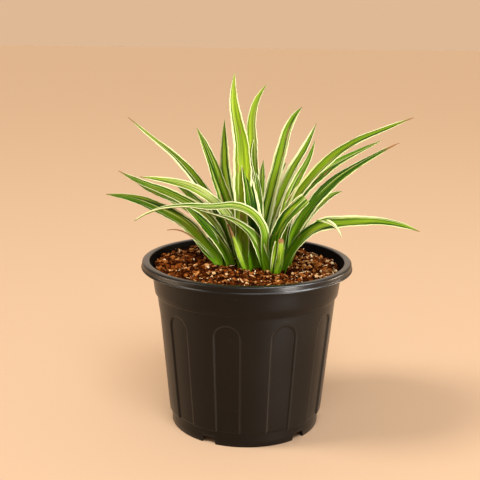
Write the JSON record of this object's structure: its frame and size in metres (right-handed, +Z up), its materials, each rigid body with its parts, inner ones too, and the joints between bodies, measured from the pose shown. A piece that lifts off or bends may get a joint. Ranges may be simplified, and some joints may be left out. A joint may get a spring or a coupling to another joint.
{
  "type": "potted spider plant",
  "caption": "Clump of variegated strap-leaved spider plant shoots growing in potting mix in a round dark nursery pot with arched flutes, a rolled rim and a notched foot.",
  "frame": {"origin": "centre of the pot's foot, on the surface that it stands on", "axes": "+Z up along the pot's axis, -Y towards the pictured front"},
  "size_m": [0.2312, 0.1604, 0.2668],
  "materials": {
    "pot_plastic": "satin",
    "potting_mix": "matte",
    "leaf": "satin"
  },
  "bodies": {
    "root": {"pot": "pot_plastic", "soil": "potting_mix", "shoot_left": "leaf", "shoot_middle": "leaf", "shoot_front": "leaf", "shoot_right": "leaf", "shoot_back": "leaf"}
  },
  "joints": []
}
